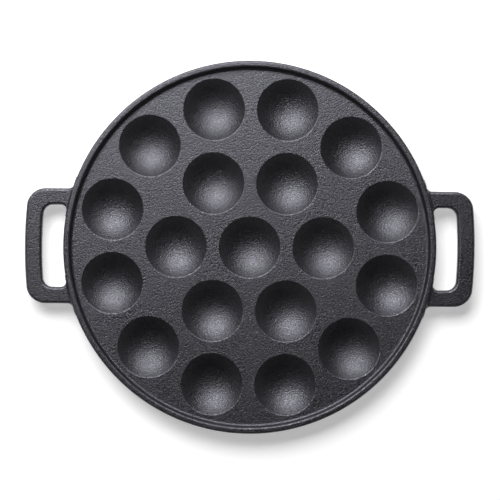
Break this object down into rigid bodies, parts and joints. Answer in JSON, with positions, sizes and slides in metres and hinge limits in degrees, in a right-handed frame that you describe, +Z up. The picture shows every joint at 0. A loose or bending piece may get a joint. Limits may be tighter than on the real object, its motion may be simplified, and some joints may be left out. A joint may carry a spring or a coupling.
{
  "type": "poffertjes pan",
  "caption": "Round cast-iron pan with small round cups for batter, a low rim with a flat lip, and a loop handle at each side.",
  "frame": {"origin": "on the table under the middle of the pan, on the middle cup's ground pad", "axes": "+Z up out of the cups; +X through the right-hand handle"},
  "size_m": [0.3138, 0.2598, 0.017],
  "materials": {
    "seasoned_cast_iron": "fine sand-cast surface, seasoned matt black"
  },
  "bodies": {
    "root": {"cup_plate": "seasoned_cast_iron", "rim": "seasoned_cast_iron", "left_handle": "seasoned_cast_iron", "right_handle": "seasoned_cast_iron"}
  },
  "joints": []
}
